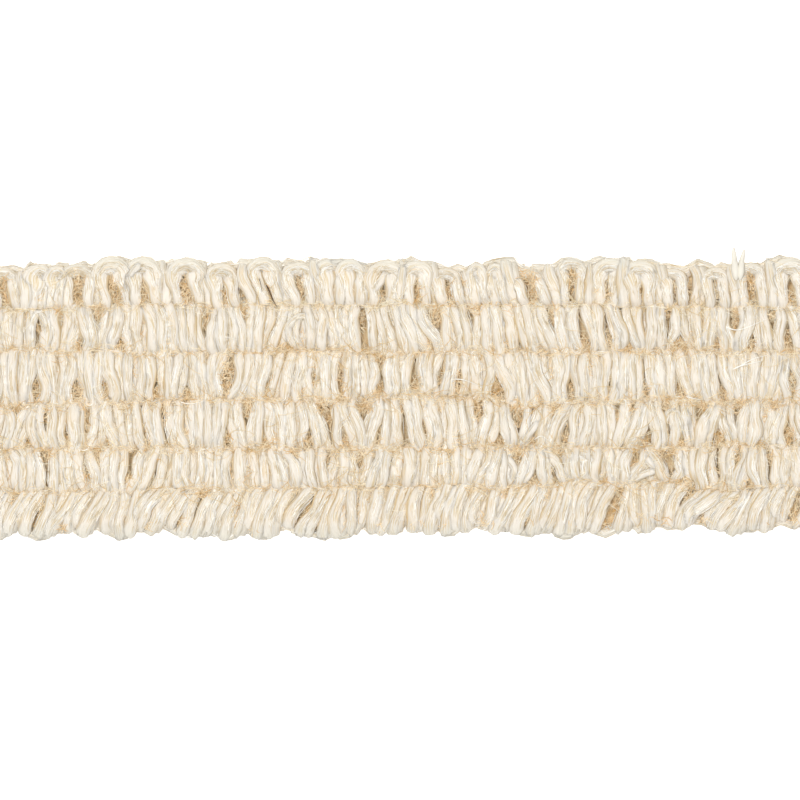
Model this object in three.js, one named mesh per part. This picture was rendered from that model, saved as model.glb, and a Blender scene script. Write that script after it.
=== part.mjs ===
// A cut length of jute tape trim, lying flat with its looped face up.
// Six rows of soft cream yarn are laid in zigzag loops side by side on a thin tan jute ground.
// Five lines of thin tan thread hold the loops down, one in each furrow between two rows.
// Millimetres. X runs along the tape, Y across it and Z up. The ground's underside is at Z = 0.

import * as THREE from 'three';

// Driving dimensions.
const length = 168;
const stationStep = 12; // between the rows of the waviness table below
const groundThickness = 1;
const groundInset = 1.3; // how far the ground stops short of the outer loops
const pieceGap = 0.3; // between two pieces that touch on the real tape
const furrowHalfWidth = 0.25; // from a furrow's centre line to the loops on either side
const wallHeight = 0.6; // upright part of a row's side, below the furrow's slope
const shoulderInset = 1.6; // where the slope ends, in from the furrow's centre line
const shoulderHeight = 3.9;
const crestHeight = 4.75;
const bindingRadius = 0.55;
const bindingHeight = 3.1; // of the thread's centre line
const bindingSides = 6;
const bindingStep = 6;
const edgeScallop = 0.9; // how far the outer edge falls back between two bundles of loops
const furrowScallop = 0.3; // the same at a furrow
const valleyDepth = 1.15; // of the dip between two bundles, at the crest
const endTaper = 7; // the lean dies out this near the straight cut ends
const widthUnevenness = 0.25; // of a bundle, as a share of its width
const heightUnevenness = 0.3;

// Any large uneven factors serve here. They scatter the bundles the same way every time.
const scatter = { row: 127.1, index: 311.7, kind: 74.7, spread: 43758.5453 };
const kindWidth = 1;
const kindLean = 2;
const kindHeight = 3;

// The tape isn't quite straight-edged. One line for each station, from the left end to the right:
// the outer loops' reach at the top edge, the five furrows, and the reach at the bottom edge.
const waviness = [
  { top: 25.2, f1: 16.9, f2: 8.8, f3: -1.4, f4: -9.5, f5: -17.6, bottom: -25.6 },
  { top: 25.3, f1: 16.9, f2: 8.8, f3: -1.5, f4: -9.6, f5: -17.6, bottom: -25.7 },
  { top: 25.8, f1: 17.1, f2: 8.9, f3: -1.3, f4: -9.6, f5: -17.5, bottom: -25.8 },
  { top: 26.2, f1: 17.6, f2: 8.4, f3: -0.8, f4: -9.6, f5: -17.3, bottom: -26.1 },
  { top: 25.6, f1: 16.9, f2: 8.6, f3: -0.4, f4: -9.6, f5: -17.3, bottom: -26.3 },
  { top: 26.1, f1: 17.4, f2: 8.9, f3: -0.5, f4: -9.6, f5: -17.1, bottom: -26.2 },
  { top: 26, f1: 17.6, f2: 8.8, f3: -0.4, f4: -9.6, f5: -16.9, bottom: -26.3 },
  { top: 26, f1: 17.6, f2: 8.4, f3: 0.2, f4: -9.5, f5: -16.6, bottom: -25.7 },
  { top: 25.2, f1: 17.6, f2: 8.9, f3: 0, f4: -9.4, f5: -16.3, bottom: -25.6 },
  { top: 25.6, f1: 17.6, f2: 8.5, f3: -1.6, f4: -9.4, f5: -16.3, bottom: -26 },
  { top: 26.2, f1: 17.6, f2: 8.6, f3: -0.8, f4: -9.4, f5: -16.1, bottom: -25.9 },
  { top: 25.9, f1: 17.4, f2: 9.2, f3: -0.4, f4: -9.5, f5: -15.6, bottom: -25 },
  { top: 25.7, f1: 17.1, f2: 8.4, f3: -1.1, f4: -9, f5: -17.3, bottom: -25.6 },
  { top: 26.3, f1: 17.1, f2: 8.6, f3: -0.9, f4: -9, f5: -16.9, bottom: -25 },
  { top: 26, f1: 17.1, f2: 8.6, f3: -0.9, f4: -9, f5: -16.9, bottom: -25.1 },
];

// The yarn rows, top row first. A bundle is two or three loops that lie together. The lean is the
// bundle's slope along X for each millimetre up the row, and the sway is how much it varies.
const yarnRows = [
  { name: 'yarn_row_1', above: 'top', below: 'f1', bundles: 33, lean: -0.05, sway: 0.16 },
  { name: 'yarn_row_2', above: 'f1', below: 'f2', bundles: 36, lean: -0.08, sway: 0.16 },
  { name: 'yarn_row_3', above: 'f2', below: 'f3', bundles: 38, lean: -0.02, sway: 0.1 },
  { name: 'yarn_row_4', above: 'f3', below: 'f4', bundles: 36, lean: 0.08, sway: 0.14 },
  { name: 'yarn_row_5', above: 'f4', below: 'f5', bundles: 32, lean: 0.12, sway: 0.16 },
  { name: 'yarn_row_6', above: 'f5', below: 'bottom', bundles: 35, lean: 0.5, sway: 0.12 },
];

// A bundle's columns: how far along the bundle each stands, and how high it rises there.
const bundleColumns = [
  { along: 0, rise: 0 },
  { along: 0.32, rise: 1 },
  { along: 0.68, rise: 0.92 },
];

const bindings = [
  { name: 'binding_1', furrow: 'f1' },
  { name: 'binding_2', furrow: 'f2' },
  { name: 'binding_3', furrow: 'f3' },
  { name: 'binding_4', furrow: 'f4' },
  { name: 'binding_5', furrow: 'f5' },
];

const halfLength = length / 2;
const yarnBase = groundThickness + pieceGap;

const creamYarn = new THREE.MeshStandardMaterial({ color: '#ece0cb', roughness: 0.85, metalness: 0 });
const tanJute = new THREE.MeshStandardMaterial({ color: '#d6bd94', roughness: 0.95, metalness: 0 });
const tanThread = new THREE.MeshStandardMaterial({ color: '#e0c9a0', roughness: 0.9, metalness: 0 });

// The height across the tape of one line of the waviness table, at any place along it.
function lineAt(line, x) {
  const place = THREE.MathUtils.clamp((x + halfLength) / stationStep, 0, waviness.length - 1);
  const station = Math.min(Math.floor(place), waviness.length - 2);
  return THREE.MathUtils.lerp(waviness[station][line], waviness[station + 1][line], place - station);
}

// A repeatable number from -1 to 1, for the unevenness of hand-soft yarn.
function unevenness(row, index, kind) {
  const angle = row * scatter.row + index * scatter.index + kind * scatter.kind;
  const wave = Math.sin(angle) * scatter.spread;
  return 2 * (wave - Math.floor(wave)) - 1;
}

// A closed body through sections that follow each other along +X. Every section is a ring of
// points, counter-clockwise as seen from +X, and the first and last rings are flat cut ends.
function bodyThroughSections(sections) {
  const ringSize = sections[0].length;
  const faces = [];
  for (let i = 0; i + 1 < sections.length; i += 1) {
    for (let j = 0; j < ringSize; j += 1) {
      const next = (j + 1) % ringSize;
      const here = i * ringSize;
      const there = here + ringSize;
      faces.push(here + j, here + next, there + j);
      faces.push(here + next, there + next, there + j);
    }
  }
  const lastRing = (sections.length - 1) * ringSize;
  const outline = sections[0].map((point) => new THREE.Vector2(point.y, point.z));
  for (const [a, b, c] of THREE.ShapeUtils.triangulateShape(outline, [])) {
    faces.push(c, b, a);
  }
  const endOutline = sections[sections.length - 1].map((point) => new THREE.Vector2(point.y, point.z));
  for (const [a, b, c] of THREE.ShapeUtils.triangulateShape(endOutline, [])) {
    faces.push(lastRing + a, lastRing + b, lastRing + c);
  }
  const geometry = new THREE.BufferGeometry().setFromPoints(sections.flat());
  geometry.setIndex(faces);
  return geometry;
}

// The thin jute ground, whose long edges follow the outer loops a little way in.
function groundBody() {
  const sections = waviness.map((station, i) => {
    const x = i * stationStep - halfLength;
    const low = station.bottom + groundInset;
    const high = station.top - groundInset;
    return [
      new THREE.Vector3(x, low, 0),
      new THREE.Vector3(x, high, 0),
      new THREE.Vector3(x, high, groundThickness),
      new THREE.Vector3(x, low, groundThickness),
    ];
  });
  return bodyThroughSections(sections);
}

// One ring across a yarn row. rise is 0 in the dip between two bundles and 1 on a bundle.
function yarnSection(row, x, lean, rise, lift) {
  const middle = (lineAt(row.above, x) + lineAt(row.below, x)) / 2;
  const place = (line, side, inset, z) => {
    const shifted = x + lean * (lineAt(line, x) - side * inset - middle);
    const outer = line === 'top' || line === 'bottom';
    const scallop = (1 - rise) * (outer ? edgeScallop : furrowScallop);
    const start = outer ? 0 : furrowHalfWidth;
    return new THREE.Vector3(shifted, lineAt(line, shifted) - side * (start + scallop + inset), z);
  };
  const slopeInset = shoulderInset - furrowHalfWidth;
  const wallTop = yarnBase + wallHeight;
  const shoulder = shoulderHeight - valleyDepth * (1 - rise) + lift / 2;
  const crest = crestHeight - valleyDepth * (1 - rise) + lift;
  return [
    place(row.below, -1, 0, yarnBase),
    place(row.above, 1, 0, yarnBase),
    place(row.above, 1, 0, wallTop),
    place(row.above, 1, slopeInset, shoulder),
    new THREE.Vector3(x, middle, crest),
    place(row.below, -1, slopeInset, shoulder),
    place(row.below, -1, 0, wallTop),
  ];
}

// One row of looped yarn, its loops gathered in bundles of uneven width, height and lean.
function yarnRowBody(row, rowIndex) {
  const widths = [];
  for (let i = 0; i < row.bundles; i += 1) {
    widths.push(1 + widthUnevenness * unevenness(rowIndex, i, kindWidth));
  }
  const scale = length / widths.reduce((sum, width) => sum + width, 0);
  const leanOf = (i) => row.lean + row.sway * unevenness(rowIndex, i, kindLean);
  const sections = [];
  let start = -halfLength;
  for (let i = 0; i < row.bundles; i += 1) {
    const width = widths[i] * scale;
    const lift = heightUnevenness * unevenness(rowIndex, i, kindHeight);
    for (const { along, rise } of bundleColumns) {
      const x = start + along * width;
      const fade = THREE.MathUtils.clamp((halfLength - Math.abs(x)) / endTaper, 0, 1);
      const lean = along > 0 || i === 0 ? leanOf(i) : (leanOf(i - 1) + leanOf(i)) / 2;
      sections.push(yarnSection(row, x, lean * fade, rise, rise * lift));
    }
    start += width;
  }
  sections.push(yarnSection(row, halfLength, 0, 0, 0));
  return bodyThroughSections(sections);
}

// One line of binding thread, lying in its furrow.
function bindingBody(furrow) {
  const sections = [];
  for (let x = -halfLength; x <= halfLength; x += bindingStep) {
    const ring = [];
    for (let j = 0; j < bindingSides; j += 1) {
      const angle = (j / bindingSides) * 2 * Math.PI;
      const y = lineAt(furrow, x) + bindingRadius * Math.cos(angle);
      ring.push(new THREE.Vector3(x, y, bindingHeight + bindingRadius * Math.sin(angle)));
    }
    sections.push(ring);
  }
  return bodyThroughSections(sections);
}

function piece(name, geometry, material) {
  const mesh = new THREE.Mesh(geometry, material.clone());
  mesh.name = name;
  return mesh;
}

const tapeTrim = new THREE.Group();
tapeTrim.add(piece('ground', groundBody(), tanJute));
yarnRows.forEach((row, i) => {
  tapeTrim.add(piece(row.name, yarnRowBody(row, i + 1), creamYarn));
});
for (const binding of bindings) {
  tapeTrim.add(piece(binding.name, bindingBody(binding.furrow), tanThread));
}

export default tapeTrim;
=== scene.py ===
# Jute tape trim, lying flat and seen from straight above.
# Six rows of soft cream yarn are looped back and forth on a thin tan jute ground.
# Five lines of thin hairy tan thread hold the loops down in the furrows between the rows.

import math
import random
from functools import partial

import bmesh
import bpy
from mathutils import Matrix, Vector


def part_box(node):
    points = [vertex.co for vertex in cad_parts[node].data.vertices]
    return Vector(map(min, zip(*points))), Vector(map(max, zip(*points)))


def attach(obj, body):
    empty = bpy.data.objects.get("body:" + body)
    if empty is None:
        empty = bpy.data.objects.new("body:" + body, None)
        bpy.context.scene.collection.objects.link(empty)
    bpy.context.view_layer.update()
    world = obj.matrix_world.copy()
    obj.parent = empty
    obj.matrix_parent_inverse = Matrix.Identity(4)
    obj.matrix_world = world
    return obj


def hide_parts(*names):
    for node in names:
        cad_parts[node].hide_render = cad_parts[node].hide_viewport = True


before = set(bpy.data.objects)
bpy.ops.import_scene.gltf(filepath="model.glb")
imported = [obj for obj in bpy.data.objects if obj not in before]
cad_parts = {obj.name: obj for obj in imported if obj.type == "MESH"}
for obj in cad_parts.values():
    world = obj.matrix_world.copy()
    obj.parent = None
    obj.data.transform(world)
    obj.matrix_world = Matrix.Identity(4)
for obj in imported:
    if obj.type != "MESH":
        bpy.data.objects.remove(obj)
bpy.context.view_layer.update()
print("frame loaded")

mm = 0.001
# The charts below were read off the photo, so they are in its pixels.
photo = {"width": 800, "mmPerPixel": 0.1875, "middleX": 400, "middleY": 398}
# Where chance starts for each kind of piece. A row's or furrow's number is added to its own.
seeds = {"lobes": 7, "rows": 40, "bindings": 60, "fuzz": 81, "fringe": 88, "looseFibres": 91}


def alongTape(pixel):
    return (pixel - photo["middleX"]) * photo["mmPerPixel"]


def acrossTape(pixel):
    return (photo["middleY"] - pixel) * photo["mmPerPixel"]


def toMillimetres(marks):
    # places in the photo, with any sizes that follow them, as millimetres on the tape
    scale = photo["mmPerPixel"]
    return [(alongTape(x), acrossTape(y), *(size * scale for size in sizes)) for x, y, *sizes in marks]


def smoothStep(low, high, value):
    share = min(max((value - low) / (high - low), 0), 1)
    return share * share * (3 - 2 * share)


def between(points, x):
    # straight lines through (x, value) points in order, level past both ends
    if x <= points[0][0]:
        return points[0][1]
    for (x0, y0), (x1, y1) in zip(points, points[1:]):
        if x <= x1:
            return y0 + (y1 - y0) * (x - x0) / (x1 - x0)
    return points[-1][1]


def linked(name, data):
    made = bpy.data.objects.new(name, data)
    bpy.context.scene.collection.objects.link(made)
    return made


def addNode(tree, kind, sources=(), **settings):
    # sources go by socket name or number, or in the sockets' order; a node gives its first output
    node = tree.nodes.new(kind)
    for name, value in settings.items():
        setattr(node, name, value)
    for socket, source in sources.items() if isinstance(sources, dict) else enumerate(sources):
        if isinstance(source, bpy.types.Node):
            source = source.outputs[0]
        if isinstance(source, bpy.types.NodeSocket):
            tree.links.new(source, node.inputs[socket])
        else:
            node.inputs[socket].default_value = source
    return node


def fromHex(code):
    # an sRGB hex colour as the linear values that a shader takes
    parts = [int(code[i : i + 2], 16) / 255 for i in (1, 3, 5)]
    return [c / 12.92 if c <= 0.04045 else ((c + 0.055) / 1.055) ** 2.4 for c in parts] + [1]


def newMaterial(name, finish):
    # a material with values set on its shader's own sockets
    material = bpy.data.materials.new(name)
    material.use_nodes = True
    shader = material.node_tree.nodes["Principled BSDF"]
    for socket, value in finish.items():
        shader.inputs[socket].default_value = value
    return material, material.node_tree, shader


# Camera, floor and light: straight above, a long lens, and soft white light all round.
studio = {
    "lens": 250,
    "sensor": 36,
    "tapeTop": 0.0045,
    "imageMiddleY": 400,
    "world": 0.4,
    "lamp": 16.1,
    "lampSize": 0.5,
    "lampPlace": (-0.11, 0.08, 1.3),
    "floorHalf": 1.5,
    "floorWhite": 0.85,
    "floorGlow": 0.6,
}


def makeStudio():
    scene = bpy.context.scene
    scene.view_settings.view_transform = "Standard"
    data = bpy.data.cameras.new("camera")
    data.lens = studio["lens"]
    data.sensor_width = studio["sensor"]
    camera = linked("camera", data)
    away = photo["width"] * photo["mmPerPixel"] * mm * data.lens / data.sensor_width
    camera.location = (0, acrossTape(studio["imageMiddleY"]) * mm, studio["tapeTop"] + away)
    scene.camera = camera

    world = bpy.data.worlds.new("soft white light")
    world.use_nodes = True
    background = world.node_tree.nodes["Background"]
    background.inputs["Color"].default_value = (1, 1, 1, 1)
    background.inputs["Strength"].default_value = studio["world"]
    scene.world = world

    lampData = bpy.data.lights.new("soft lamp", "AREA")
    lampData.energy = studio["lamp"]
    lampData.size = studio["lampSize"]
    lamp = linked("soft lamp", lampData)
    lamp.location = studio["lampPlace"]
    lamp.rotation_euler = (-lamp.location).to_track_quat("-Z", "Y").to_euler()

    floorMesh = bpy.data.meshes.new("floor")
    half = studio["floorHalf"]
    corners = [(-half, -half, 0), (half, -half, 0), (half, half, 0), (-half, half, 0)]
    floorMesh.from_pydata(corners, [], [(0, 1, 2, 3)])
    floor = linked("floor", floorMesh)
    finish = {"Base Color": [studio["floorWhite"]] * 3 + [1], "Roughness": 1, "Specular IOR Level": 0,
              "Emission Color": (1, 1, 1, 1), "Emission Strength": studio["floorGlow"]}
    floorMesh.materials.append(newMaterial("white paper", finish)[0])


makeStudio()
print("camera, floor and light made")


# The furrows between the rows, as (along, across) in the photo. They wander with the tape.
furrowChart = [
    [
        (20, 308), (100, 307), (150, 304), (200, 304), (215, 309), (250, 304), (285, 306), (320, 304),
        (600, 304), (620, 306), (660, 305), (700, 307), (800, 307),
    ],
    [
        (20, 351), (60, 351), (100, 350), (150, 353), (200, 352), (250, 352), (290, 350), (350, 351),
        (385, 354), (450, 350), (500, 353), (550, 352), (620, 352), (650, 349), (690, 349), (730, 353),
        (760, 351), (790, 352),
    ],
    [
        (0, 406), (70, 406), (110, 402), (180, 402), (220, 399), (300, 401), (350, 400), (385, 397),
        (450, 397), (480, 398), (520, 405), (530, 407), (560, 404), (600, 401), (650, 400), (700, 400),
        (720, 404), (750, 401), (780, 403),
    ],
    [
        (0, 449), (400, 449), (430, 448), (600, 448), (650, 449), (700, 447), (730, 445), (760, 446),
        (790, 446),
    ],
    [
        (0, 492), (100, 492), (150, 490), (200, 491), (250, 489), (300, 489), (340, 488), (390, 487),
        (420, 486), (470, 484), (505, 490), (530, 484), (550, 487), (570, 481), (600, 484), (630, 484),
        (655, 481), (680, 479), (700, 490), (730, 493), (760, 488), (790, 487),
    ],
]
furrows = [toMillimetres(line) for line in furrowChart]
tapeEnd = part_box("ground")[1].x / mm

# Each row's chart, top row first. lean is how far a loop's top stands to the right of its foot,
# as (place along, lean). eyes are the gaps that show the ground: (along, across, width, height).
# lobes are the loops that make the tape's edge: (along, outermost point, width).
rowCharts = [
    {
        "edge": "top",
        "lean": [
            (0, -4), (30, 3), (60, 0), (95, 0), (130, -2), (165, 0), (200, -6), (235, -3), (255, -9),
            (290, -6), (320, -8), (365, 0), (390, 3), (405, 4), (435, -8), (460, -10), (478, 0),
            (510, -12), (550, -10), (585, 0), (625, 0), (655, -8), (668, 0), (700, -6), (735, 0),
            (775, -3),
        ],
        "eyes": [
            (5, 291, 12, 24), (40, 295, 9, 14), (52, 285, 7, 9), (77, 290, 14, 26), (114, 290, 14, 26),
            (144, 288, 11, 22), (188, 290, 12, 24), (226, 292, 8, 20), (247, 295, 5, 6),
            (269, 290, 7, 30), (301, 287, 8, 18), (337, 288, 10, 22), (350, 283, 9, 14), (372, 277, 4, 6),
            (382, 296, 9, 12), (417, 291, 9, 20), (452, 292, 9, 22), (463, 283, 4, 10), (483, 279, 8, 8),
            (494, 295, 9, 13), (523, 275, 3, 16), (533, 288, 12, 26), (572, 281, 7, 20),
            (598, 285, 4, 16), (607, 293, 7, 15), (643, 293, 6, 14), (675, 289, 6, 13), (686, 289, 5, 13),
            (716, 291, 6, 18), (752, 284, 9, 20), (792, 299, 9, 13),
        ],
        "lobes": [
            (-13, 263, 28), (12, 264, 24), (31, 261, 11), (46, 263, 20), (60, 261, 16), (84, 262, 30),
            (118, 256, 32), (142, 257, 18), (158, 260, 16), (172, 260, 10), (185, 257, 14),
            (199, 262, 14), (211, 263, 12), (228, 261, 19), (240, 259, 11), (263, 257, 34),
            (290, 258, 14), (301, 258, 12), (312, 257, 10), (321, 256, 10), (332, 257, 10),
            (350, 262, 26), (382, 260, 30), (400, 258, 14), (412, 256, 12), (430, 260, 28),
            (457, 264, 26), (474, 264, 11), (499, 257, 32), (511, 257, 12), (522, 262, 10),
            (544, 263, 30), (570, 258, 27), (601, 257, 31), (626, 257, 18), (647, 259, 28),
            (667, 261, 11), (681, 264, 18), (701, 259, 22), (722, 262, 18), (738, 262, 16),
            (755, 261, 20), (781, 256, 34), (812, 260, 26),
        ],
    },
    {
        "lean": [
            (5, -4), (20, 2), (40, 0), (70, 4), (90, -2), (105, 12), (130, -6), (160, -10), (200, -4),
            (240, 0), (280, 5), (320, -8), (350, -3), (380, -6), (425, -18), (450, -9), (480, -6),
            (505, -13), (540, -14), (570, -6), (620, -8), (655, 6), (690, -12), (710, 8), (730, -10),
            (745, 6), (770, -6), (790, -6),
        ],
        "eyes": [
            (25, 330, 3, 24), (59, 318, 9, 16), (38, 328, 5, 8), (78, 342, 8, 12), (98, 312, 9, 14),
            (122, 343, 12, 11), (143, 328, 3, 14), (168, 342, 3, 12), (208, 318, 9, 22),
            (244, 314, 9, 14), (262, 326, 2, 16), (284, 346, 13, 8), (303, 337, 3, 14), (322, 314, 6, 12),
            (362, 321, 4, 19), (366, 346, 7, 6), (393, 320, 3, 18), (428, 341, 8, 13), (436, 317, 10, 21),
            (452, 325, 2, 16), (477, 311, 9, 14), (492, 342, 3, 14), (508, 344, 5, 14), (512, 312, 5, 13),
            (553, 314, 6, 18), (586, 341, 8, 14), (592, 315, 3, 9), (609, 338, 6, 20), (627, 347, 10, 8),
            (645, 325, 2, 14), (659, 330, 3, 18), (668, 312, 6, 12), (680, 343, 13, 9), (693, 336, 4, 16),
            (702, 322, 5, 20), (717, 338, 7, 17), (736, 321, 8, 24), (751, 340, 6, 18), (772, 315, 9, 11),
            (787, 340, 6, 18),
        ],
    },
    {
        "lean": [
            (5, 0), (60, 1), (90, -3), (120, -3), (150, 0), (200, 2), (220, 8), (250, 10), (285, 10),
            (310, 5), (330, 0), (360, -3), (400, 4), (430, 0), (450, 8), (480, -4), (520, -10), (550, -8),
            (580, 0), (620, 4), (650, -2), (688, -16), (720, -8), (750, -4), (775, 8), (795, -4),
        ],
        "eyes": [
            (37, 389, 11, 24), (56, 366, 2, 14), (77, 391, 11, 20), (87, 384, 2, 14), (107, 388, 8, 20),
            (124, 372, 2, 10), (134, 380, 2, 28), (155, 391, 8, 16), (187, 394, 11, 11),
            (172, 392, 2, 12), (227, 378, 14, 27), (267, 384, 8, 26), (285, 364, 3, 10),
            (295, 369, 3, 14), (303, 389, 6, 10), (314, 374, 7, 22), (342, 382, 9, 30), (381, 360, 8, 9),
            (380, 389, 11, 12), (407, 371, 3, 12), (416, 385, 8, 15), (442, 378, 5, 22),
            (457, 382, 6, 22), (481, 373, 3, 12), (498, 391, 12, 18), (539, 392, 6, 18),
            (553, 373, 4, 18), (572, 389, 6, 20), (590, 368, 2, 14), (609, 386, 8, 18), (646, 390, 9, 14),
            (663, 372, 2, 18), (682, 391, 6, 16), (691, 374, 3, 34), (723, 393, 10, 13),
            (757, 386, 4, 20), (793, 381, 12, 19),
        ],
    },
    {
        "lean": [
            (15, 12), (40, -4), (60, 4), (75, 4), (95, 2), (115, -8), (145, -8), (175, -2), (200, -2),
            (220, 2), (245, -2), (275, -10), (300, 0), (315, -13), (345, -8), (370, 8), (390, -4),
            (410, -10), (440, -2), (470, -4), (490, 8), (508, -12), (535, 18), (560, 12), (590, 2),
            (610, -4), (640, 20), (655, -2), (672, 4), (690, -6), (710, 14), (728, -10), (750, 6),
            (780, 8), (795, -4),
        ],
        "eyes": [
            (18, 409, 13, 9), (30, 441, 8, 7), (48, 418, 6, 13), (68, 437, 7, 15), (85, 424, 5, 42),
            (109, 440, 6, 13), (114, 428, 2, 12), (132, 420, 4, 20), (147, 438, 6, 17), (165, 413, 7, 16),
            (186, 432, 4, 18), (204, 428, 2, 14), (213, 421, 2, 12), (228, 439, 6, 14), (236, 430, 2, 12),
            (247, 409, 8, 18), (267, 442, 9, 12), (274, 430, 4, 18), (295, 414, 2, 14), (308, 439, 8, 14),
            (323, 407, 9, 13), (330, 422, 2, 12), (344, 436, 7, 16), (364, 408, 14, 12),
            (379, 433, 5, 18), (401, 407, 7, 15), (423, 430, 6, 20), (439, 409, 6, 18), (457, 436, 7, 14),
            (477, 411, 10, 18), (500, 441, 11, 9), (516, 413, 11, 26), (532, 443, 9, 5),
            (556, 408, 9, 11), (568, 432, 5, 20), (580, 418, 2, 14), (594, 408, 3, 10), (617, 420, 5, 18),
            (632, 412, 6, 14), (643, 440, 10, 8), (667, 408, 10, 11), (668, 427, 2, 12), (681, 441, 8, 8),
            (690, 435, 3, 12), (704, 409, 11, 9), (720, 438, 10, 12), (741, 406, 8, 14),
            (748, 430, 4, 13), (767, 417, 6, 17), (757, 441, 7, 7), (775, 405, 8, 8), (789, 434, 9, 17),
        ],
    },
    {
        "lean": [
            (5, -10), (30, 0), (60, -4), (90, -6), (115, 6), (145, 18), (180, 0), (225, 2), (245, 0),
            (265, -2), (285, -12), (320, -8), (335, 2), (350, -6), (375, 16), (410, 0), (430, 0),
            (460, 4), (490, 20), (510, -6), (530, 6), (552, -18), (575, 0), (600, -4), (620, 0),
            (640, 22), (655, -10), (690, -6), (715, -2), (745, 10), (765, -4), (785, -2),
        ],
        "eyes": [
            (8, 474, 3, 24), (47, 455, 9, 8), (55, 458, 6, 12), (43, 474, 2, 8), (87, 476, 6, 18),
            (98, 457, 5, 15), (127, 478, 8, 12), (155, 460, 6, 11), (172, 480, 2, 8), (233, 474, 4, 24),
            (248, 473, 3, 15), (270, 468, 2, 14), (292, 456, 10, 11), (318, 469, 3, 14),
            (328, 463, 5, 11), (340, 473, 3, 16), (361, 461, 7, 15), (353, 474, 3, 6), (373, 458, 5, 9),
            (403, 470, 3, 16), (420, 465, 2, 16), (440, 458, 4, 18), (485, 478, 2, 8), (518, 459, 10, 26),
            (533, 480, 11, 8), (553, 470, 4, 16), (556, 454, 9, 7), (605, 478, 4, 12), (622, 466, 2, 14),
            (635, 463, 8, 13), (665, 453, 20, 5), (686, 481, 13, 8), (710, 474, 4, 16), (722, 476, 5, 20),
            (739, 457, 9, 13), (750, 482, 8, 6), (758, 468, 2, 12), (770, 457, 5, 13), (791, 470, 3, 16),
        ],
    },
    {
        "edge": "bottom",
        "lean": [
            (5, 14), (30, 19), (60, 21), (95, 22), (118, -3), (140, 25), (185, 22), (230, 18), (260, 18),
            (290, 20), (320, 21), (344, 1), (360, 13), (375, 11), (395, 14), (415, 12), (430, 10),
            (455, 12), (480, 14), (510, 20), (540, 16), (570, 16), (600, 20), (625, 16), (642, 0),
            (670, 16), (700, 28), (730, 30), (765, 19), (790, 15),
        ],
        "eyes": [
            (14, 501, 3, 10), (42, 510, 6, 13), (63, 527, 5, 5), (86, 515, 2, 12), (125, 519, 6, 7),
            (138, 517, 2, 8), (150, 506, 4, 12), (147, 526, 4, 7), (182, 520, 5, 10), (190, 504, 3, 9),
            (206, 495, 8, 9), (237, 512, 5, 20), (254, 530, 5, 5), (270, 512, 2, 14), (298, 503, 3, 8),
            (308, 510, 6, 19), (329, 499, 7, 12), (322, 519, 2, 12), (345, 513, 4, 28), (357, 508, 4, 20),
            (371, 504, 4, 13), (380, 520, 3, 14), (392, 512, 5, 13), (412, 519, 3, 12), (421, 514, 2, 16),
            (433, 498, 7, 10), (445, 521, 3, 12), (471, 492, 4, 11), (483, 518, 3, 14), (503, 500, 6, 24),
            (494, 520, 2, 12), (530, 518, 5, 12), (548, 501, 3, 12), (569, 516, 7, 17), (606, 524, 2, 10),
            (622, 495, 6, 12), (615, 508, 5, 12), (642, 514, 3, 18), (667, 519, 4, 6), (656, 515, 3, 12),
            (690, 498, 8, 13), (705, 517, 7, 5), (738, 501, 9, 8), (728, 510, 3, 12), (766, 512, 4, 24),
            (783, 510, 2, 12), (795, 513, 8, 18),
        ],
        "lobes": [
            (-10, 534, 14), (1, 540, 14), (15, 531, 14), (37, 540, 30), (62, 534, 20), (80, 537, 18),
            (98, 531, 20), (118, 541, 18), (146, 535, 22), (163, 530, 12), (190, 539, 38), (224, 541, 26),
            (244, 533, 12), (261, 540, 24), (281, 530, 16), (300, 537, 18), (319, 541, 26),
            (342, 540, 15), (359, 530, 18), (373, 536, 11), (383, 536, 11), (394, 536, 14),
            (416, 534, 15), (428, 535, 13), (449, 537, 16), (465, 533, 20), (480, 532, 12),
            (493, 534, 15), (507, 532, 12), (529, 537, 32), (548, 534, 10), (565, 538, 27),
            (586, 533, 13), (606, 537, 26), (625, 531, 16), (642, 534, 17), (656, 528, 14),
            (675, 530, 28), (697, 525, 18), (712, 530, 20), (731, 536, 22), (750, 533, 14),
            (763, 533, 14), (777, 528, 14), (793, 529, 20), (812, 532, 22),
        ],
    },
]

# Strands that stand out on their own, over the rows: the row, then points down the strand.
strayChart = [
    (1, [(143, 262), (132, 274), (127, 289), (135, 303)]),
    (1, [(328, 264), (345, 262), (366, 267)]),
    (1, [(386, 273), (379, 285), (369, 298)]),
    (1, [(502, 280), (492, 291), (479, 301)]),
    (2, [(31, 346), (32, 324), (38, 313), (45, 323), (46, 345)]),
    (2, [(79, 309), (88, 318), (100, 332)]),
    (2, [(281, 347), (288, 327), (302, 316), (318, 326), (330, 346)]),
    (4, [(541, 419), (532, 431), (519, 446)]),
    (4, [(666, 444), (663, 425), (672, 411), (681, 424), (676, 444)]),
    (5, [(559, 461), (578, 458), (590, 465), (580, 475), (562, 479)]),
    (5, [(585, 454), (595, 463), (598, 476)]),
    (5, [(661, 469), (646, 474), (629, 481)]),
    (5, [(644, 454), (651, 463), (659, 471)]),
    (5, [(503, 453), (494, 466), (479, 477)]),
    (5, [(503, 454), (512, 463), (515, 472), (508, 488)]),
    (5, [(390, 455), (378, 468), (366, 484)]),
    (6, [(506, 492), (500, 507), (492, 527)]),
]

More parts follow.
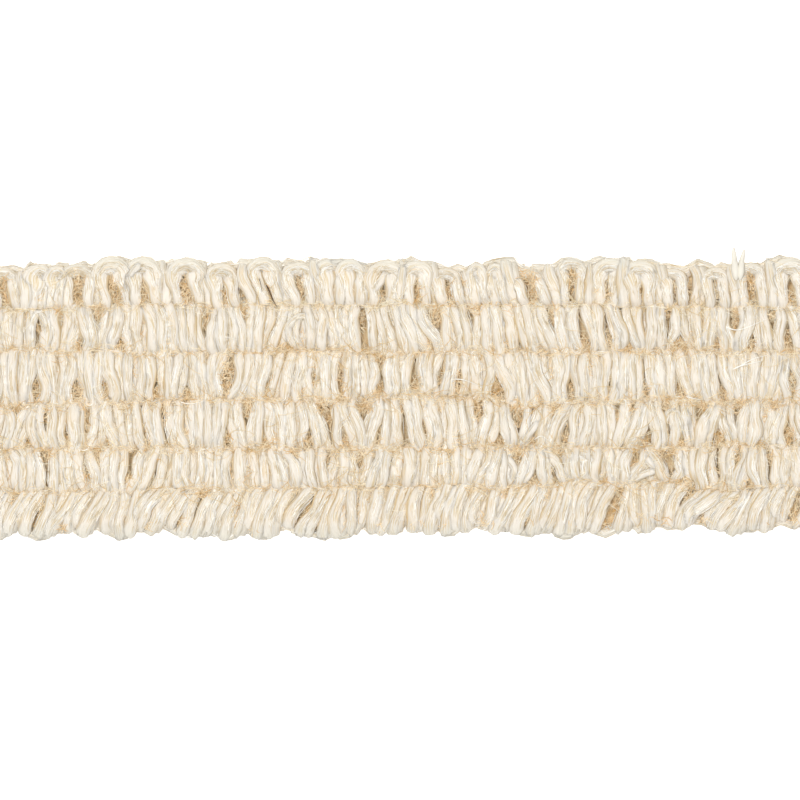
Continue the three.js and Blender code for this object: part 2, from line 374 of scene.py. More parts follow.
# How the soft yarn lies, in millimetres. A leg is one pass of the yarn across its row.
yarn = {
    "pitch": 1.86,
    "width": 2.27,
    "thickness": 1.25,
    "flatness": 0.68,
    "crest": 4.1,
    "furrowHeight": 2.85,
    "turnHeight": 2.55,
    "edgeHeight": 1.85,
    "roundness": 2.8,
    "reach": 0.9,
    "turnBulge": 0.62,
    "turnUnevenness": 0.45,
    "turnRise": (-0.3, 0.5),
    "bundleCounts": (2, 2, 3, 3, 4),
    "bundleTilt": 0.65,
    "bundleBow": 0.62,
    "bundleSway": 0.5,
    "bundleLift": 0.3,
    "bundleDraw": 0.26,
    "drawPlace": 0.9,
    "drawLength": 0.6,
    "bundleRoll": 0.5,
    "edgeRoll": 0.3,
    "edgeRollShare": 0.3,
    "edgeBow": 0.14,
    "bundleSize": (0.9, 1.15),
    "legSize": (0.88, 1.12),
    "legUnevenness": 0.2,
    "liftUnevenness": 1.5,
    "legSteps": 12,
    "turnSteps": 6,
    "smoothing": 3,
    "footSpacing": 0.9,
    "footSpread": (-0.7, 0.9),
    "squeezeThinning": 0.25,
    "furrowThinning": 0.15,
    "innerDrop": 0.35,
    "innerSink": 0.3,
    "innerGap": 3.2,
    "innerEyeWidth": 0.85,
    "innerEyeReach": 1.5,
    "innerSides": 8,
    "sides": 28,
    "crowding": 0.7,
    "fluteDepth": 0.7,
    "fluteCount": 20,
    "fluteLength": 6,
    "twist": 0.06,
    "slubLength": 3.5,
    "longRoute": 20,
}

# The arches over the top row's large eyes, and the loops' rounded ends along both edges.
# A nose is the last of a leg, as (out, down, size) from its end.
edges = {
    "archOver": 1.05,
    "archRoom": 0.95,
    "archLift": 0.7,
    "archRise": 0.7,
    "archHeight": 3.3,
    "archInset": 0.47,
    "archBow": 0.3,
    "archSize": (1.1, 1.8),
    "noseInset": 0.75,
    "noseRoundness": 4,
    "noseThinning": 0.1,
    "nose": [(0.25, 0.15, 0.93), (0.45, 0.38, 0.78), (0.58, 0.65, 0.52), (0.63, 0.85, 0.2)],
    "lobeRoundness": 1.1,
    "lobeReach": 6,
    "cordInset": 0.95,
    "cordStep": 1.1,
    "cordMargin": 0.3,
    "cordWander": 0.3,
    "cordSink": 0.2,
    "cordSize": (0.75, 0.95),
}

# The cut ends, where the loops lie lower and straighter. Past the photo the edge's lobes go on by chance.
ends = {
    "taper": 7,
    "drop": 5,
    "height": 1.7,
    "margin": 0.2,
    "overrun": 0.6,
    "archMargin": 3,
    "markMargin": 1,
    "lobeWidth": (2.6, 4.8),
    "lobeSpacing": 0.85,
    "lobeWander": 0.4,
}


def makeLobes(chart, chance):
    lobes = toMillimetres(chart["lobes"])
    wander = ends["lobeWander"]
    for last, way in ((0, -1), (-1, 1)):
        while way * lobes[last][0] < tapeEnd - ends["markMargin"]:
            width = chance.uniform(*ends["lobeWidth"])
            x = lobes[last][0] + way * width * ends["lobeSpacing"]
            y = lobes[last - way][1] + chance.uniform(-wander, wander)
            lobes.insert(0 if way < 0 else len(lobes), (x, y, width))
    return lobes


for chart in rowCharts:
    chart["leans"] = [(alongTape(x), lean * photo["mmPerPixel"]) for x, lean in chart["lean"]]
    chart["gaps"] = toMillimetres(chart["eyes"])
    arched = edges["archOver"] if chart.get("edge") == "top" else math.inf
    chart["pushing"] = [gap for gap in chart["gaps"] if gap[2] <= arched]
    if "lobes" in chart:
        chart["edgeLobes"] = makeLobes(chart, random.Random(seeds["lobes"]))
        chart["outline"] = [(x, y) for x, y, width in chart["edgeLobes"]]


def leanAt(chart, x):
    # the lean dies out towards the straight cut ends
    return between(chart["leans"], x) * min(max((tapeEnd - abs(x)) / ends["taper"], 0), 1)


def sunk(x, z):
    # near the cut ends everything comes down to the ground
    share = smoothStep(0, ends["drop"], tapeEnd - abs(x))
    return ends["height"] + (z - ends["height"]) * share


def edgeReach(chart, x):
    # how far out the tape's edge is at x, with its round-ended lobes side by side
    sign = 1 if chart["edge"] == "top" else -1
    near = [lobe for lobe in chart["edgeLobes"] if abs(x - lobe[0]) < edges["lobeReach"]]
    return sign * max(sign * y - edges["lobeRoundness"] * ((x - at) / (width / 2)) ** 2
                      for at, y, width in near)


def rowSides(row, x):
    # the across places of a row's lower and upper sides
    low = between(furrows[row] if row < 5 else rowCharts[5]["outline"], x)
    high = between(furrows[row - 1] if row > 0 else rowCharts[0]["outline"], x)
    return low, high


def rowAt(x, y):
    # the row at a place, and where the place is in it, from -1 at its lower side to 1
    row = sum(y < between(line, x) for line in furrows)
    low, high = rowSides(row, x)
    return row, min(max(2 * (y - low) / (high - low) - 1, -1), 1)


def clothHeight(x, y):
    row, v = rowAt(x, y)
    outer = (row == 0 and v > 0) or (row == 5 and v < 0)
    foot = yarn["edgeHeight"] if outer else yarn["furrowHeight"]
    middle = foot + (yarn["crest"] - foot) * (1 - abs(v) ** yarn["roundness"])
    return sunk(x, middle) + yarn["thickness"] / 2


def midLine(chart, row, x, y):
    # where a leg through a place crosses the middle of its row
    low, high = rowSides(row, x)
    return x - leanAt(chart, x) * ((y - low) / (high - low) - 0.5)


def legsRoundEyes(chart, row):
    # an arch of yarn stands over each large eye, with single legs in the room between the arches
    legs = []
    for x, y, width, height in chart["gaps"]:
        if width > edges["archOver"] and abs(x) < tapeEnd - ends["archMargin"]:
            lean = leanAt(chart, x)
            middle = midLine(chart, row, x, y)
            reach = width / 2 + edges["archRoom"]
            end = edgeReach(chart, middle + lean / 2)
            smallest, largest = edges["archSize"]
            topSize = min(max((end - y - height / 2) / yarn["width"], smallest), largest)
            arch = ("arch", x)
            for side in (-1, 1):
                legs.append({"mid": middle + side * reach, "lean": lean, "reach": reach, "arc": True,
                             "end": end, "topSize": topSize, "bundle": arch})
    legs.sort(key=lambda leg: leg["mid"])
    outer = tapeEnd + ends["overrun"]
    stops = [-outer] + [leg["mid"] for leg in legs] + [outer]
    for k in range(0, len(stops), 2):
        room = stops[k + 1] - stops[k]
        count = max(round(room / yarn["pitch"]) - 1, 0)
        for i in range(count):
            mid = stops[k] + room * (i + 1) / (count + 1)
            lean = leanAt(chart, mid)
            legs.append({"mid": mid, "lean": lean, "reach": 0, "arc": False,
                         "end": edgeReach(chart, mid + lean / 2), "bundle": ("room", k)})
    return sorted(legs, key=lambda leg: leg["mid"])


def legsBetweenGaps(chart, row, chance):
    marks = sorted(midLine(chart, row, x, y) for x, y, width, height in chart["gaps"])
    marks = [mark for mark in marks if abs(mark) < tapeEnd - ends["markMargin"]]
    legs = []
    bundle = 0
    for low, high in zip([-tapeEnd] + marks, marks + [tapeEnd]):
        count = round((high - low) / yarn["pitch"])
        left = 0
        for k in range(count):
            if left == 0:
                bundle += 1
                left = chance.choice(yarn["bundleCounts"])
            left -= 1
            mid = low + (k + 0.5) * (high - low) / count
            leg = {"mid": mid, "lean": leanAt(chart, mid), "bundle": bundle}
            if "edge" in chart:
                leg["arc"] = False
                leg["end"] = edgeReach(chart, mid - leg["lean"] / 2)
            legs.append(leg)
    return legs


def bundleUp(legs, chance):
    # the two to four legs of a bundle lean, bow and rise much alike, and draw together somewhere
    bundles = {}
    for leg in legs:
        bundles.setdefault(leg["bundle"], []).append(leg)
    uneven = yarn["legUnevenness"]
    for members in bundles.values():
        tilt, bow, sway, lift = (chance.uniform(-1, 1) * yarn[key] for key in
                                 ("bundleTilt", "bundleBow", "bundleSway", "bundleLift"))
        pinch = chance.uniform(-yarn["drawPlace"], yarn["drawPlace"])
        roll = chance.uniform(-1, 1) * yarn["bundleRoll"]
        breadth = chance.uniform(*yarn["bundleSize"])
        middle = sum(leg["mid"] for leg in members) / len(members)
        for leg in members:
            leg["mid"] += chance.uniform(-uneven, uneven)
            leg["lean"] += tilt + 2 * chance.uniform(-uneven, uneven)
            leg["bow"] = bow + chance.uniform(-uneven, uneven)
            leg["sway"] = sway + chance.uniform(-uneven, uneven)
            leg["lift"] = lift + chance.uniform(-uneven, uneven) * yarn["liftUnevenness"]
            leg["pinch"] = pinch
            leg["roll"] = roll
            leg["draw"] = (middle - leg["mid"]) * yarn["bundleDraw"]
            leg["size"] = breadth * chance.uniform(*yarn["legSize"])
            if leg.get("arc"):
                leg["bow"] *= edges["archBow"]
                leg["draw"] = 0


def spreadOut(places, gap, rounds=40):
    # places that crowd shift apart until each has room
    places = list(places)
    for _ in range(rounds):
        for k in range(len(places) - 1):
            lack = gap - (places[k + 1] - places[k])
            if lack > 0:
                places[k] -= lack / 2
                places[k + 1] += lack / 2
    return places


# How the yarn gives way to a gap: how much of the gap it opens, and how far off it still moves.
giving = {"near": 7, "height": 0.72, "leastHeight": 1.5, "roundness": 1.2, "leastWidth": 0.15,
          "closing": 0.25, "share": 0.6, "full": 0.9, "fade": 1.6}


def pushAside(x, y, lean, gaps):
    # how far the yarn at a place gives way to the gaps near it, and how much it is squeezed there
    push = 0
    squeeze = 0
    fade = giving["fade"]
    for gapX, gapY, width, height in gaps:
        rise = (y - gapY) / max(height * giving["height"], giving["leastHeight"])
        if abs(rise) < 1 and abs(x - gapX) < giving["near"]:
            part = math.cos(rise * math.pi / 2) ** giving["roundness"]
            away = x - gapX - lean * (y - gapY)
            side = 1 if away > 0 else -1
            wide = max(width - giving["closing"], giving["leastWidth"])
            fading = math.exp(-max(abs(away) - giving["full"], 0) / fade)
            push += side * wide * giving["share"] * part * fading
            squeeze += part * math.exp(-abs(away) / fade) * min(wide, fade) / fade
    return push, min(squeeze, 1)


def legPoints(leg, chart, row, up):
    # v runs from -1 at the row's lower side to 1 at its upper side
    points = []
    steps = yarn["legSteps"]
    start, end = -yarn["reach"], yarn["reach"]
    edge = chart.get("edge")
    if edge:
        start, end = (start, 1) if edge == "top" else (-1, end)
        inset = edges["noseInset"]
        if leg["arc"]:
            inset = yarn["width"] * edges["archInset"] * leg["topSize"] + leg["reach"] * edges["archRise"]
    for i in range(steps):
        v = start + (end - start) * i / (steps - 1)
        x = leg["mid"] + leg["lean"] * v / 2 + (leg["bow"] + 2 * leg["sway"] * v) * (1 - v * v)
        x += leg["draw"] * math.exp(-(((v - leg["pinch"]) / yarn["drawLength"]) ** 2))
        low, high = rowSides(row, x)
        outward = 0
        if edge:
            # an edge row's legs end at the tape's edge on one side, and spread out at the furrow
            toFurrow = -v if edge == "top" else v
            x += (leg["foot"] - leg["mid"]) * smoothStep(*yarn["footSpread"], toFurrow)
            outward = max(-toFurrow, 0)
            if edge == "top":
                high = leg["end"] - inset
            else:
                low = leg["end"] + inset
        y = low + (high - low) * (v + 1) / 2
        push, squeeze = pushAside(x, y, leg["lean"] / (high - low), chart["pushing"])
        foot = yarn["edgeHeight"] if outward else yarn["furrowHeight"]
        if outward and leg["arc"]:
            foot = edges["archHeight"]
        crest = yarn["crest"] + leg["lift"]
        power = edges["noseRoundness"] if outward and not leg["arc"] else yarn["roundness"]
        z = sunk(x, foot + (crest - foot) * (1 - abs(v) ** power))
        size = leg["size"] * (1 - yarn["squeezeThinning"] * squeeze)
        if not outward:
            size *= 1 - yarn["furrowThinning"] * smoothStep(0.5, 1, abs(v))
        elif leg["arc"]:
            size *= 1 + (leg["topSize"] - 1) * smoothStep(0, 1, abs(v))
        else:
            size *= 1 - edges["noseThinning"] * smoothStep(0.85, 1, abs(v))
        points.append([x + push, y, z, size, leg["roll"] * (1 if up else -1) * (1 - v * v)])
    for _ in range(yarn["smoothing"]):
        xs = [point[0] for point in points]
        for i in range(1, steps - 1):
            points[i][0] = (xs[i - 1] + 2 * xs[i] + xs[i + 1]) / 4
    return points


def turnPoints(first, last, bulge, height):
    # half round from the end of one leg to the start of the next
    points = []
    for i in range(1, yarn["turnSteps"]):
        angle = math.pi * i / yarn["turnSteps"]
        share = (1 - math.cos(angle)) / 2
        x, y, z, size, roll = (a + (b - a) * share for a, b in zip(first, last))
        z += (height - z) * math.sin(angle)
        points.append([x, y + bulge * math.sin(angle), z, size, roll])
    return points


def smoothPath(marks, steps):
    # a soft line on the tape through a few places in the photo
    points = toMillimetres(marks)
    padded = [points[0]] + points + [points[-1]]
    path = []
    for a, b, c, d in zip(padded, padded[1:], padded[2:], padded[3:]):
        for i in range(steps):
            t = i / steps
            path.append(tuple(
                q + t * (r - p + t * (2 * p - 5 * q + 4 * r - s + t * (3 * (q - r) + s - p))) / 2
                for p, q, r, s in zip(a, b, c, d)))
    path.append(points[-1])
    return path


# A charted strand's thickness, and how it comes up out of the row and goes under again.
strays = {"size": 0.65, "depth": 1.6, "rise": 1.35, "most": 0.35}


def strayPoints(marks):
    path = smoothPath(marks, 5)
    points = []
    for i, (x, y) in enumerate(path):
        share = i / (len(path) - 1)
        over = math.sin(math.pi * share) ** 0.5
        z = clothHeight(x, y) - strays["depth"] + strays["rise"] * over
        points.append([x, y, min(z, yarn["crest"] + strays["most"]), strays["size"], 0])
    return points


def nosePoints(end, before):
    # the rounded end of a leg that dives over the tape's edge
    dx, dy = end[0] - before[0], end[1] - before[1]
    length = math.hypot(dx, dy)
    points = []
    for out, drop, size in edges["nose"]:
        x = end[0] + dx / length * out
        y = end[1] + dy / length * out
        points.append([x, y, end[2] - drop, end[3] * size, end[4]])
    return points


def edgeCord(chart, chance):
    # a lower strand along the tape's edge, seen in the notches between the loops
    sign = 1 if chart["edge"] == "top" else -1
    step, wander, margin = edges["cordStep"], edges["cordWander"], edges["cordMargin"]
    points = []
    for i in range(int((2 * tapeEnd - 2 * margin) / step)):
        x = -tapeEnd + margin + step * i
        y = edgeReach(chart, x) - sign * (edges["cordInset"] + chance.uniform(-wander, wander))
        z = yarn["edgeHeight"] + chance.uniform(-edges["cordSink"], 0)
        points.append([x, y, z, chance.uniform(*edges["cordSize"]), 0])
    return points


def cutToTape(splines):
    # what is left of each spline short of the cut ends
    splines = [[p for p in points if abs(p[0]) < tapeEnd - ends["margin"]] for points in splines]
    return [points for points in splines if len(points) > 2]


def innerLegs(legs, chart, row):
    # a lower layer of loops, seen in the slits between the upper ones
    splines = []
    for one, two in zip(legs, legs[1:]):
        place = (one["mid"] + two["mid"]) / 2
        low, high = rowSides(row, place)
        slope = one["lean"] / (high - low)
        overGap = any(width > yarn["innerEyeWidth"]
                      and abs(x - place - slope * (y - (low + high) / 2)) < yarn["innerEyeReach"]
                      for x, y, width, height in chart["gaps"])
        if two["mid"] - one["mid"] < yarn["innerGap"] and not overGap:
            shared = {key: (one[key] + two[key]) / 2
                      for key in ("mid", "foot", "lean", "bow", "sway", "pinch")}
            leg = {**one, **shared, "roll": 0, "draw": 0, "size": 1, "arc": False}
            leg["lift"] = min(one["lift"], two["lift"]) - yarn["innerDrop"]
            points = legPoints(leg, chart, row, True)
            for point in points:
                point[2] -= yarn["innerDrop"] * yarn["innerSink"]
            splines.append(points)
    return cutToTape(splines)


def archedSplines(legs, chart, row):
    # each arch and each single leg starts at a rounded foot in the furrow
    splines = []
    legs = list(legs)
    while legs:
        leg = legs.pop(0)
        here = legPoints(leg, chart, row, True)
        points = nosePoints(here[0], here[1])[::-1] + here
        if leg["arc"]:
            there = legPoints(legs.pop(0), chart, row, False)
            rise = leg["reach"] * edges["archRise"]
            points += turnPoints(here[-1], there[-1], rise, yarn["edgeHeight"] + edges["archLift"])
            points += there[::-1] + nosePoints(there[0], there[1])
        else:
            points += nosePoints(here[-1], here[-2])
        splines.append(points)
    return splines


def zigzagSplines(legs, chart, row, chance):
    # back and forth across the row, and open at the tape's edge
    splines = [[]]
    for k, leg in enumerate(legs):
        up = k % 2 == 0
        here = legPoints(leg, chart, row, up)
        splines[-1] += here if up else here[::-1]
        if k + 1 == len(legs):
            break
        there = legPoints(legs[k + 1], chart, row, not up)
        first, last = (here[-1], there[-1]) if up else (here[0], there[0])
        if chart.get("edge") == "bottom" and not up:
            splines[-1] += nosePoints(first, here[1])
            splines.append(nosePoints(last, there[1])[::-1])
            continue
        bulge = (1 if up else -1) * (yarn["turnBulge"] + chance.uniform(-1, 1) * yarn["turnUnevenness"])
        height = yarn["turnHeight"] + chance.uniform(*yarn["turnRise"])
        splines[-1] += turnPoints(first, last, bulge, height)
    return splines


def yarnRoute(row, chance):
    chart = rowCharts[row]
    legs = legsRoundEyes(chart, row) if row == 0 else legsBetweenGaps(chart, row, chance)
    bundleUp(legs, chance)
    feet = spreadOut([leg["mid"] for leg in legs], yarn["pitch"] * yarn["footSpacing"])
    for leg, foot in zip(legs, feet):
        leg["foot"] = foot
        if row == 5:
            leg["bow"] -= yarn["edgeBow"] * leg["lean"]
            leg["roll"] = yarn["edgeRoll"] + leg["roll"] * yarn["edgeRollShare"]
    splines = archedSplines(legs, chart, row) if row == 0 else zigzagSplines(legs, chart, row, chance)
    if "edge" in chart:
        splines.append(edgeCord(chart, chance))
    splines = cutToTape(splines)
    splines += [strayPoints(marks) for strayRow, marks in strayChart if strayRow == row + 1]
    return splines, innerLegs(legs, chart, row)


def makeCurve(name, splines):
    # splines hold points of (x, y, z, size) in millimetres, and some a roll as well
    data = bpy.data.curves.new(name, "CURVE")
    data.dimensions = "3D"
    for points in splines:
        spline = data.splines.new("POLY")
        spline.points.add(len(points) - 1)
        for point, (x, y, z, size, *roll) in zip(spline.points, points):
            point.co = (x * mm, y * mm, z * mm, 1)
            point.radius = size
            point.tilt = roll[0] if roll else 0
    return linked(name, data)


number, whole, maths = "NodeSocketFloat", "NodeSocketInt", "ShaderNodeMath"


def newTree(name, numbers):
    # a Geometry Nodes tree with a geometry input, its named numbers and a material
    tree = bpy.data.node_groups.new(name, "GeometryNodeTree")
    kinds = {"Geometry": "NodeSocketGeometry", **numbers, "Material": "NodeSocketMaterial"}
    for label, kind in kinds.items():
        tree.interface.new_socket(label, in_out="INPUT", socket_type=kind)
    tree.interface.new_socket("Geometry", in_out="OUTPUT", socket_type="NodeSocketGeometry")
    return tree, addNode(tree, "NodeGroupInput").outputs


def finishTree(tree, given, mesh):
    smooth = addNode(tree, "GeometryNodeSetShadeSmooth", {"Geometry": mesh})
    real = addNode(tree, "GeometryNodeRealizeInstances", {"Geometry": smooth})
    coloured = addNode(tree, "GeometryNodeSetMaterial", {"Geometry": real, "Material": given["Material"]})
    addNode(tree, "NodeGroupOutput", {"Geometry": coloured})


def grow(source, tree, values, name):
    # runs a tree on an object and keeps the result as a plain mesh
    modifier = source.modifiers.new("nodes", "NODES")
    modifier.node_group = tree
    for socket in tree.interface.items_tree:
        if socket.in_out == "INPUT" and socket.name in values:
            modifier[socket.identifier] = values[socket.name]
    graph = bpy.context.evaluated_depsgraph_get()
    mesh = bpy.data.meshes.new_from_object(source.evaluated_get(graph), depsgraph=graph)
    source.modifiers.remove(modifier)
    bpy.data.objects.remove(source)
    return linked(name, mesh)


def makePiece(name, splines, tree, values, node=None):
    # a piece along its routes, which rides on the tape and may stand for a CAD node
    piece = grow(makeCurve(f"{name} route", splines), tree, values, name)
    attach(piece, "root")
    if node:
        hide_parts(node)
    return piece


def makeYarnTree():
    labels = ("Width", "Thickness", "Flatness", "Crowding", "Flute depth", "Flute count", "Flute length",
              "Twist", "Slub length")
    tree, given = newTree("looped yarn", {**dict.fromkeys(labels, number), "Sides": whole})
    add = partial(addNode, tree)
    fullTurn = 2 * math.pi

    upright = add("GeometryNodeSetCurveNormal", {"Curve": given["Geometry"]}, mode="Z_UP")
    route = add("GeometryNodeCaptureAttribute", {"Geometry": upright})
    route.capture_items.new("FLOAT", "length")
    along = add("GeometryNodeSplineParameter").outputs["Length"]
    tree.links.new(along, route.inputs[1])

    # the section: its points crowd together on the upper side, which is the one that shows
    circle = add("GeometryNodeCurvePrimitiveCircle", {"Resolution": given["Sides"], "Radius": 1.0})
    part = add(maths, (add("GeometryNodeInputIndex"), given["Sides"]), operation="DIVIDE")
    evenTurn = add(maths, (part, fullTurn), operation="MULTIPLY")
    swing = add(maths, (evenTurn,), operation="COSINE")
    crowd = add(maths, (given["Crowding"], swing), operation="MULTIPLY")
    turn = add(maths, (evenTurn, crowd), operation="ADD")
    section = add("GeometryNodeCaptureAttribute", {"Geometry": circle})
    section.capture_items.new("FLOAT", "turn")
    tree.links.new(turn.outputs[0], section.inputs[1])
    kept = section.outputs[1]
    sides = []
    for wave, size in (("COSINE", given["Width"]), ("SINE", given["Thickness"])):
        value = add(maths, (kept,), operation=wave)
        flat = add(maths, (value,), operation="ABSOLUTE")
        flat = add(maths, (flat, given["Flatness"]), operation="POWER")
        signed = add(maths, (add(maths, (value,), operation="SIGN"), flat), operation="MULTIPLY")
        half = add(maths, (size, 0.5), operation="MULTIPLY")
        sides.append(add(maths, (signed, half), operation="MULTIPLY"))
    shape = add("ShaderNodeCombineXYZ", sides)
    placed = add("GeometryNodeSetPosition", {"Geometry": section, "Position": shape})

    # slubs: the yarn swells and thins along its length
    slubs = add(maths, (along, given["Slub length"]), operation="DIVIDE")
    slub = add("ShaderNodeTexNoise", {"W": slubs, "Scale": 1.0, "Detail": 1.0}, noise_dimensions="1D")
    swell = add(maths, (add(maths, (slub, 0.6), operation="MULTIPLY"), 0.7), operation="ADD")
    size = add(maths, (add("GeometryNodeInputRadius"), swell), operation="MULTIPLY")
    tube = add("GeometryNodeCurveToMesh",
               {"Curve": route, "Profile Curve": placed, "Scale": size, "Fill Caps": True})

    # flutes: the fibres run along the yarn in loose locks, turning slowly round it
    length = route.outputs[1]
    angle = add(maths, (kept, add(maths, (length, given["Twist"]), operation="MULTIPLY")), operation="ADD")
    ring = add(maths, (given["Flute count"], fullTurn), operation="DIVIDE")
    ways = [add(maths, (add(maths, (angle,), operation=wave), ring), operation="MULTIPLY")
            for wave in ("COSINE", "SINE")]
    ways.append(add(maths, (length, given["Flute length"]), operation="DIVIDE"))
    flow = add("ShaderNodeCombineXYZ", ways)
    noise = add("ShaderNodeTexNoise", {"Vector": flow, "Scale": 1.0, "Detail": 1.0})
    height = add(maths, (noise, 0.5), operation="SUBTRACT")
    height = add(maths, (height, given["Flute depth"]), operation="MULTIPLY")
    offset = add("ShaderNodeVectorMath", {0: add("GeometryNodeInputNormal"), "Scale": height},
                 operation="SCALE")
    mesh = add("GeometryNodeSetPosition", {"Geometry": tube, "Offset": offset})
    flank = add(maths, (add(maths, (kept,), operation="COSINE"),), operation="ABSOLUTE")
    for label, value, kind in (("fibreFlow", flow, "FLOAT_VECTOR"), ("groove", noise, "FLOAT"),
                               ("flank", flank, "FLOAT")):
        mesh = add("GeometryNodeStoreNamedAttribute", {"Geometry": mesh, "Name": label, "Value": value},
                   data_type=kind, domain="POINT")
    finishTree(tree, given, mesh)
    return tree


# Cream yarn: bleached jute, loosely spun. Long soft fibres lie along it, so it is matt with a faint
# silky streak along each lock. Its colour also holds painted shade: tan in the flute valleys and on the
# flanks between strands, warmer tan where the yarn lies low, and grey-cream along the tape's outer edge.
# Each share of a colour runs from low to high in its source, and from start to end in strength.
creamYarn = {
    "pale": "#eae2d5",
    "cream": "#d8c6a3",
    # deep is painted shade: the warm tan put where the yarn lies low, also used for random warm patches
    "deep": "#e8c48e",
    # groove is painted shade: the tan put in the flute valleys and on the flanks between strands
    "groove": "#dcc294",
    # rim is painted shade: the greyer cream put along the tape's outer edge
    "rim": "#dedacb",
    "streaks": (0.35, 0.45, 0, 1),
    "paintedValleyShade": (0.35, 0.42, 0.45, 0),
    "flanks": (0.72, 0.95, 0, 1),
    "flankPatches": (0.35, 0.6, 0.35, 0.95),
    "warmPatches": (0.5, 0.75, 0, 0.15),
    "paintedLowShade": (2.4, 3.9, 0.9, 0),  # heights in millimetres
    "inside": (20.5, 22.5, 1, 0.1),  # millimetres from the tape's middle line
    "paintedEdgeShade": (23.3, 25.8, 0, 0.65),
    "fineness": 2.1,
    "stretch": 1.5,
    "glow": 0.38,
    "glowDepth": 0.7,
    "bump": 1.0,
    "bumpDepth": 0.33,
    "patchSize": 6,
}


def makeCreamYarn():
    finish = {"Roughness": 0.6, "Specular IOR Level": 0.35, "Sheen Weight": 0.1, "Sheen Roughness": 0.5,
              "Subsurface Weight": creamYarn["glow"], "Subsurface Radius": (1, 1, 1),
              "Subsurface Scale": creamYarn["glowDepth"] * mm}
    material, tree, shader = newMaterial("loose spun bleached jute yarn", finish)
    add = partial(addNode, tree)
    flow = add("ShaderNodeAttribute", attribute_name="fibreFlow").outputs["Vector"]
    groove = add("ShaderNodeAttribute", attribute_name="groove").outputs["Fac"]
    flank = add("ShaderNodeAttribute", attribute_name="flank").outputs["Fac"]
    place = add("ShaderNodeTexCoord").outputs["Object"]
    fine = creamYarn["fineness"]
    stretched = add("ShaderNodeMapping", {"Vector": flow, "Scale": (fine, fine, creamYarn["stretch"])})
    fibres = add("ShaderNodeTexNoise", {"Vector": stretched, "Scale": 1.0, "Detail": 2.0})
    patches = add("ShaderNodeTexNoise",
                  {"Vector": place, "Scale": 1 / (creamYarn["patchSize"] * mm), "Detail": 2.0})
    axes = add("ShaderNodeSeparateXYZ", (place,)).outputs
    outward = add(maths, (axes[1],), operation="ABSOLUTE")

    shares = {}
    for name, source, unit in (("streaks", fibres, 1), ("paintedValleyShade", groove, 1), ("flanks", flank, 1),
                               ("flankPatches", patches, 1), ("warmPatches", patches, 1),
                               ("paintedLowShade", axes[2], mm), ("inside", outward, mm), ("paintedEdgeShade", outward, mm)):
        low, high, start, end = creamYarn[name]
        shares[name] = add("ShaderNodeMapRange", (source, low * unit, high * unit, start, end))
    # the painted low shade fades out towards the outer loops, so they stay pale down to the tape's edge
    depth = add(maths, (shares["paintedLowShade"], shares["inside"]), operation="MULTIPLY")
    # painted low shade, plus random warm patches of the yarn's own tone
    lowShadeAndPatches = add(maths, (depth, shares["warmPatches"]), operation="ADD", use_clamp=True)
    # painted shade: the flanks between two strands are coloured tan, more so in some places than in others
    tan = add(maths, (shares["flanks"], shares["flankPatches"]), operation="MULTIPLY")
    # painted shade in the flute valleys, joined with the painted shade on the flanks
    valleyAndFlankShade = add(maths, (shares["paintedValleyShade"], tan), operation="MAXIMUM")
    colour = fromHex(creamYarn["cream"])
    # cream with pale fibre streaks, then painted shade: tan in valleys and on flanks, warm tan low down,
    # grey-cream at the edge
    for share, name in ((shares["streaks"], "pale"), (valleyAndFlankShade, "groove"), (lowShadeAndPatches, "deep"),
                        (shares["paintedEdgeShade"], "rim")):
        sources = {"Factor": share, 6: colour, 7: fromHex(creamYarn[name])}
        colour = add("ShaderNodeMix", sources, data_type="RGBA").outputs[2]
    tree.links.new(colour, shader.inputs["Base Color"])
    bump = add("ShaderNodeBump", {"Height": fibres, "Strength": creamYarn["bump"],
                                  "Distance": creamYarn["bumpDepth"] * mm})
    tree.links.new(bump.outputs[0], shader.inputs["Normal"])
    return material


def makeYarnRows():
    tree = makeYarnTree()
    values = {"Flatness": yarn["flatness"], "Crowding": yarn["crowding"], "Flute count": yarn["fluteCount"],
              "Twist": yarn["twist"] / mm, "Material": makeCreamYarn()}
    for label, key in (("Width", "width"), ("Thickness", "thickness"), ("Flute depth", "fluteDepth"),
                       ("Flute length", "fluteLength"), ("Slub length", "slubLength")):
        values[label] = yarn[key] * mm
    pieces = []
    routes = []
    for row in range(6):
        splines, inner = yarnRoute(row, random.Random(seeds["rows"] + row))
        routes.append([points for points in splines if len(points) > yarn["longRoute"]])
        values["Sides"] = yarn["sides"]
        pieces.append(makePiece(f"loops_{row + 1}", splines, tree, values,
                                f"yarn_row_{row + 1}"))
        values["Sides"] = yarn["innerSides"]
        pieces.append(makePiece(f"inner_loops_{row + 1}", inner, tree, values))
    return pieces, routes


rows, routes = makeYarnRows()
print("yarn rows looped")


# Thin round things: the binding threads and every loose hair. Each one is a route with a size.
def makeHairTree():
    tree, given = newTree("thin fibres", {"Thickness": number, "Sides": whole})
    add = partial(addNode, tree)
    strand = add("GeometryNodeInputIndex")
    shade = add("FunctionNodeRandomValue", {"ID": strand}, data_type="FLOAT").outputs[1]
    shaded = add("GeometryNodeCaptureAttribute", {"Geometry": given["Geometry"]}, domain="CURVE")
    shaded.capture_items.new("FLOAT", "shade")
    tree.links.new(shade, shaded.inputs[1])
    radius = add(maths, (given["Thickness"], 0.5), operation="MULTIPLY")
    circle = add("GeometryNodeCurvePrimitiveCircle", {"Resolution": given["Sides"], "Radius": radius})
    sources = {"Curve": shaded, "Profile Curve": circle, "Scale": add("GeometryNodeInputRadius"),
               "Fill Caps": True}
    tube = add("GeometryNodeCurveToMesh", sources)
    stored = add("GeometryNodeStoreNamedAttribute",
                 {"Geometry": tube, "Name": "shade", "Value": shaded.outputs[1]},
                 data_type="FLOAT", domain="POINT")
    finishTree(tree, given, stored)
    return tree


hairTree = makeHairTree()

# Tan jute: raw bast fibre, hairy and matt. Each hair has its own shade, from straw to gold brown.
tanJute = {"dark": "#dcb87c", "light": "#fff1d4", "shades": (0.45, 1.3), "blotches": 900.0}


